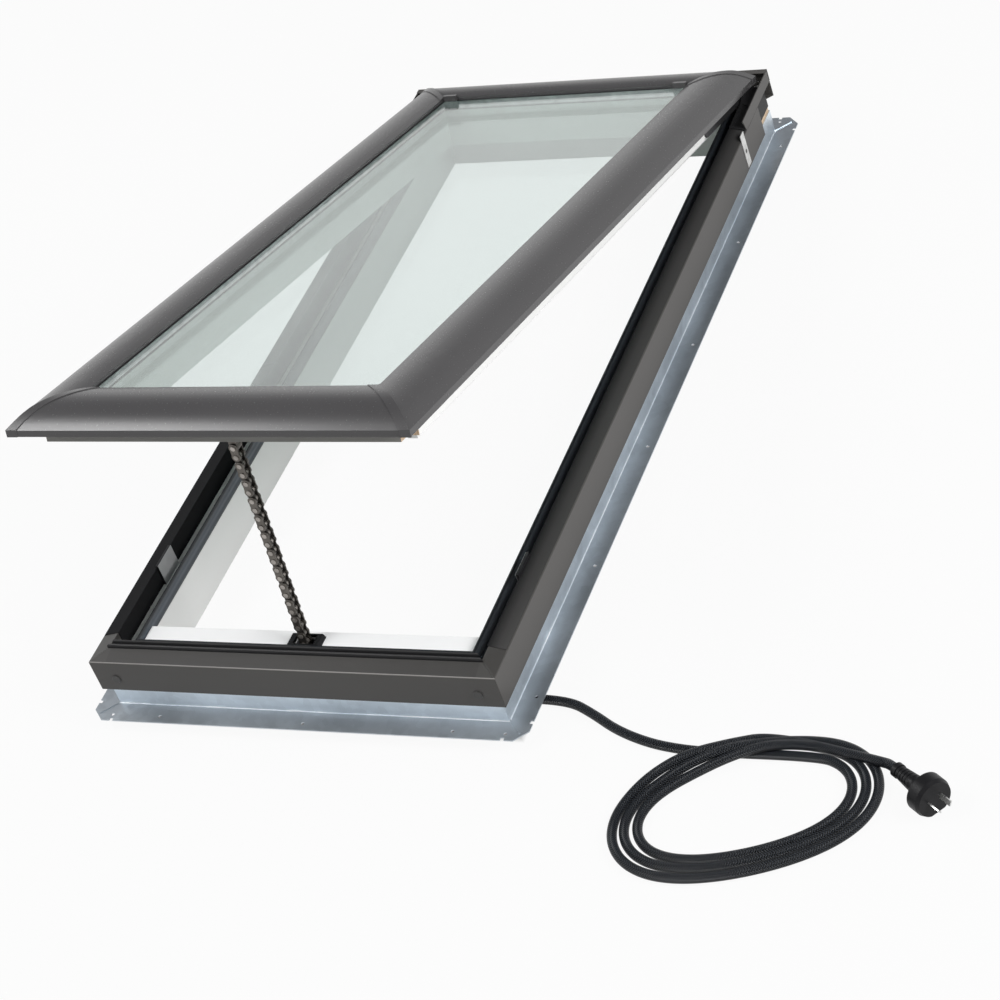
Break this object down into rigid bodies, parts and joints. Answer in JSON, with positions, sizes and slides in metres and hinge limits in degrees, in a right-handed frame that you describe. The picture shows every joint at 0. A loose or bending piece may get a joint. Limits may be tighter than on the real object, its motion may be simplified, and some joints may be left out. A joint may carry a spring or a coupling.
{
  "type": "roof skylight",
  "caption": "Top-hinged electric roof skylight: wood frame with metal cladding and deck flange, glazed sash held open by a push chain, mains lead with plug.",
  "frame": {"origin": "middle of the frame in plan, on the underside of the wood frame", "axes": "X across the slope, +Y up the slope to the hinged head, +Z out of the roof"},
  "size_m": [1.1094, 1.4052, 0.4423],
  "materials": {
    "white_wood": "white paint on pine",
    "galvanised": "galvanised sheet",
    "frame_sheet": "satin brown-grey coating",
    "sash_sheet": "satin anthracite coating",
    "black_plastic": "moulded, fine grain",
    "white_plastic": "smooth",
    "blue_rubber": "extruded seal",
    "black_rubber": "extruded seal",
    "steel": "plated steel",
    "bright_steel": "plated steel",
    "alloy": "mill finish",
    "pane": "clear float glass",
    "board": "printed board",
    "cord": "braided sleeve",
    "black_steel": "black coated steel",
    "grey_plastic": "moulded, smooth",
    "pins": "nickel plated"
  },
  "bodies": {
    "frame": {"frame_foot_rail": "white_wood", "deck_flange_foot": "galvanised", "frame_cladding_foot": "frame_sheet", "frame_right_rail": "white_wood", "deck_flange_right": "galvanised", "frame_cladding_right": "frame_sheet", "frame_head_rail": "white_wood", "deck_flange_head": "galvanised", "frame_cladding_head": "frame_sheet", "frame_left_rail": "white_wood", "deck_flange_left": "galvanised", "frame_cladding_left": "frame_sheet", "head_hood": "frame_sheet", "hood_legs": "frame_sheet", "corner_blocks": "black_plastic", "side_straps": "bright_steel", "sash_guides": "grey_plastic", "screw_caps": "black_plastic", "frame_gasket": "blue_rubber", "bottom_seal": "black_rubber", "side_strips": "black_rubber", "frame_hinges": "black_steel", "operator_cover": "white_plastic", "operator_housing": "alloy", "operator_ends": "black_plastic", "gearbox": "black_plastic", "motor": "steel", "control_board": "board", "power_supply": "black_plastic", "chain_guide": "black_plastic", "cable_gland": "black_plastic", "cord_lead": "cord", "cord_coil": "cord", "cord_tail": "cord", "plug_body": "black_plastic", "plug_pins": "pins"},
    "sash": {"sash_foot_rail": "white_wood", "sash_cover_foot": "sash_sheet", "sash_right_rail": "white_wood", "sash_cover_right": "sash_sheet", "sash_head_rail": "white_wood", "sash_cover_head": "sash_sheet", "sash_left_rail": "white_wood", "sash_cover_left": "sash_sheet", "outer_pane": "pane", "inner_pane": "pane", "spacer_bar": "alloy", "glass_bed": "black_rubber", "glazing_gasket": "black_rubber", "corner_caps": "sash_sheet", "end_caps": "sash_sheet", "sash_hinge_plates": "black_steel", "hinge_pins": "steel", "chain_bracket": "bright_steel", "chain_bracket_pin": "steel"},
    "chain": {"chain_outer_plates": "steel", "chain_inner_plates": "steel", "chain_rivets": "steel", "chain_end_eye": "steel"},
    "sprocket": {"drive_sprocket": "steel"}
  },
  "joints": [
    {"name": "sash_hinge", "type": "hinge", "parent": "frame", "child": "sash", "pos_m": [0, 0.556, 0.114], "axis": [1, 0, 0], "range_deg": [0, 15.69], "deforming": ["chain_outer_plates", "chain_inner_plates", "chain_rivets", "chain_end_eye"]},
    {"name": "chain_pivot", "type": "hinge", "parent": "frame", "child": "chain", "pos_m": [0, -0.5305, 0.087], "axis": [1, 0, 0], "range_deg": [0, 7.84]},
    {"name": "sprocket_spin", "type": "hinge", "parent": "frame", "child": "sprocket", "pos_m": [-0.01236, -0.53326, 0.06243], "axis": [0, 1, 0], "range_deg": [0, 1440]}
  ],
  "couplings": [
    {"joint": "chain_pivot", "follows": "sash_hinge", "ratio": 0.5},
    {"joint": "sprocket_spin", "follows": "sash_hinge", "ratio": 91.778}
  ]
}
